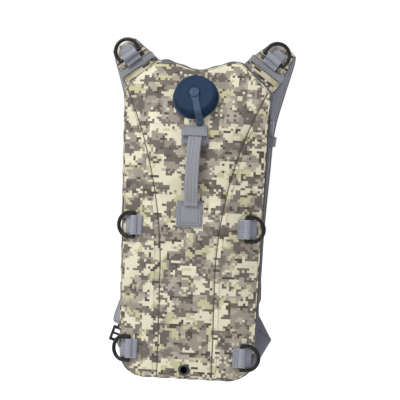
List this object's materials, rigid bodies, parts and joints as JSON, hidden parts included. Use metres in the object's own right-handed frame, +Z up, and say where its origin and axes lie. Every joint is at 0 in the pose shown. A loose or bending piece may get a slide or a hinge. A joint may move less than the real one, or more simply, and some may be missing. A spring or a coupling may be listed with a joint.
{
  "type": "hydration pack",
  "caption": "Slim padded carrier with a screw-capped water reservoir, side and shoulder D-rings, grab handle and two shoulder straps.",
  "frame": {"origin": "middle of the back panel's face, 230 mm above the pack's bottom edge", "axes": "+Z up along the pack, +Y out of the back panel towards the wearer, +X to the right as seen from the front"},
  "size_m": [0.277, 0.1314, 0.4984],
  "materials": {
    "camouflage_cloth": "printed polyester in a digital camouflage pattern",
    "dark_cloth": "dark polyester",
    "mesh_back": "spacer mesh over foam",
    "foam": "closed-cell foam",
    "bladder_film": "soft film",
    "black_plastic": "moulded acetal",
    "cap_plastic": "moulded navy polypropylene",
    "rubber": "soft silicone",
    "webbing": "woven grey nylon webbing",
    "zip_metal": "painted die-cast zinc",
    "zip_cloth": "woven tape with a nylon coil",
    "eyelet_metal": "painted brass",
    "trim_cloth": "folded cloth binding"
  },
  "bodies": {
    "pack": {"front_panel_centre": "camouflage_cloth", "front_panel_left": "camouflage_cloth", "front_panel_right": "camouflage_cloth", "bottom_gusset": "dark_cloth", "top_gusset": "dark_cloth", "side_gusset_left": "dark_cloth", "side_gusset_right": "dark_cloth", "back_panel": "mesh_back", "foam_liner": "foam", "bladder": "bladder_film", "hose_outlet": "black_plastic", "filler_neck": "black_plastic", "port_facing": "trim_cloth", "tether_collar": "cap_plastic", "ring_tab_upper_left": "webbing", "ring_tab_upper_right": "webbing", "ring_tab_lower_left": "webbing", "ring_tab_lower_right": "webbing", "handle_upper_patch": "webbing", "handle_lower_patch": "webbing", "drain_grommet": "eyelet_metal", "drain_washer": "eyelet_metal", "haul_loop": "webbing", "zip_chain": "zip_cloth", "lower_webbing_left": "webbing", "lower_webbing_right": "webbing"},
    "tether": {"tether_strap": "cap_plastic", "tether_button": "cap_plastic"},
    "cap": {"cap": "cap_plastic", "cap_gasket": "rubber"},
    "handle": {"grab_handle": "webbing"},
    "zip_slider": {"zip_slider": "zip_metal"},
    "zip_pull": {"zip_pull": "zip_metal"},
    "ring_upper_left": {"d_ring_upper_left": "black_plastic"},
    "ring_upper_right": {"d_ring_upper_right": "black_plastic"},
    "ring_lower_left": {"d_ring_lower_left": "black_plastic"},
    "ring_lower_right": {"d_ring_lower_right": "black_plastic"},
    "ring_shoulder_left": {"d_ring_shoulder_left": "black_plastic"},
    "ring_shoulder_right": {"d_ring_shoulder_right": "black_plastic"},
    "strap_left": {"shoulder_pad_left": "camouflage_cloth", "strap_webbing_left": "webbing", "strap_cross_strip_left": "webbing", "ring_tab_shoulder_left": "webbing"},
    "lock_left": {"ladder_lock_left": "black_plastic"},
    "strap_right": {"shoulder_pad_right": "camouflage_cloth", "strap_webbing_right": "webbing", "strap_cross_strip_right": "webbing", "ring_tab_shoulder_right": "webbing"},
    "lock_right": {"ladder_lock_right": "black_plastic"},
    "chest_left": {"chest_strap_loop_left": "webbing", "chest_webbing_left": "webbing", "buckle_socket": "black_plastic"},
    "chest_right": {"chest_strap_loop_right": "webbing", "chest_webbing_right": "webbing"},
    "buckle_plug": {"buckle_plug": "black_plastic"}
  },
  "joints": [
    {"name": "cap_lift", "type": "slide", "parent": "pack", "child": "tether", "axis": [0, -0.9272, 0.3746], "range_m": [0, 0.006]},
    {"name": "cap_turn", "type": "hinge", "parent": "tether", "child": "cap", "pos_m": [0, -0.04525, 0.1765], "axis": [0, -0.9272, 0.3746], "range_deg": [0, 540]},
    {"name": "ring_upper_left_swing", "type": "hinge", "parent": "pack", "child": "ring_upper_left", "pos_m": [-0.08303, -0.04988, -0.011], "axis": [0, 0, 1], "range_deg": [0, 150]},
    {"name": "ring_upper_right_swing", "type": "hinge", "parent": "pack", "child": "ring_upper_right", "pos_m": [0.08303, -0.04988, -0.011], "axis": [0, 0, -1], "range_deg": [0, 150]},
    {"name": "ring_lower_left_swing", "type": "hinge", "parent": "pack", "child": "ring_lower_left", "pos_m": [-0.08303, -0.04988, -0.191], "axis": [0, 0, 1], "range_deg": [0, 150]},
    {"name": "ring_lower_right_swing", "type": "hinge", "parent": "pack", "child": "ring_lower_right", "pos_m": [0.08303, -0.04988, -0.197], "axis": [0, 0, -1], "range_deg": [0, 150]},
    {"name": "handle_pull", "type": "slide", "parent": "pack", "child": "handle", "axis": [0, -1, 0], "range_m": [0, 0.015]},
    {"name": "zip_slide", "type": "slide", "parent": "pack", "child": "zip_slider", "axis": [-0.0222, 0, -0.9998], "range_m": [0, 0.29]},
    {"name": "zip_pull_swing", "type": "hinge", "parent": "zip_slider", "child": "zip_pull", "pos_m": [0.1125, -0.028, 0.14777], "axis": [0, -1, 0], "range_deg": [0, 110]},
    {"name": "strap_left_swing", "type": "hinge", "parent": "pack", "child": "strap_left", "pos_m": [-0.09, 0.0004, 0.227], "axis": [1, 0, 0], "range_deg": [0, 10]},
    {"name": "ring_shoulder_left_swing", "type": "hinge", "parent": "strap_left", "child": "ring_shoulder_left", "pos_m": [-0.10689, -0.00493, 0.23873], "axis": [0.7953, 0.0084, 0.6062], "range_deg": [0, 150]},
    {"name": "ladder_lock_left_tilt", "type": "hinge", "parent": "strap_left", "child": "lock_left", "pos_m": [-0.10208, 0.01528, -0.16896], "axis": [0.9578, -0.0152, -0.2869], "range_deg": [0, 50]},
    {"name": "chest_left_slide", "type": "slide", "parent": "strap_left", "child": "chest_left", "axis": [0, 0, -1], "range_m": [0, 0.02]},
    {"name": "strap_right_swing", "type": "hinge", "parent": "pack", "child": "strap_right", "pos_m": [0.09, 0.0004, 0.227], "axis": [1, 0, 0], "range_deg": [0, 10]},
    {"name": "ring_shoulder_right_swing", "type": "hinge", "parent": "strap_right", "child": "ring_shoulder_right", "pos_m": [0.10689, -0.00493, 0.23873], "axis": [0.7953, -0.0084, -0.6062], "range_deg": [0, 150]},
    {"name": "ladder_lock_right_tilt", "type": "hinge", "parent": "strap_right", "child": "lock_right", "pos_m": [0.08081, 0.01707, -0.13122], "axis": [0.9937, -0.0035, 0.112], "range_deg": [0, 50]},
    {"name": "chest_right_slide", "type": "slide", "parent": "strap_right", "child": "chest_right", "axis": [0, 0, -1], "range_m": [0, 0.02]},
    {"name": "buckle_release", "type": "slide", "parent": "chest_right", "child": "buckle_plug", "axis": [1, 0, 0], "range_m": [0, 0.022]}
  ],
  "couplings": [
    {"joint": "cap_lift", "follows": "cap_turn", "m_per_rad": 0.00063662},
    {"joint": "strap_right_swing", "follows": "strap_left_swing", "ratio": 1},
    {"joint": "chest_right_slide", "follows": "chest_left_slide", "ratio": 1}
  ]
}
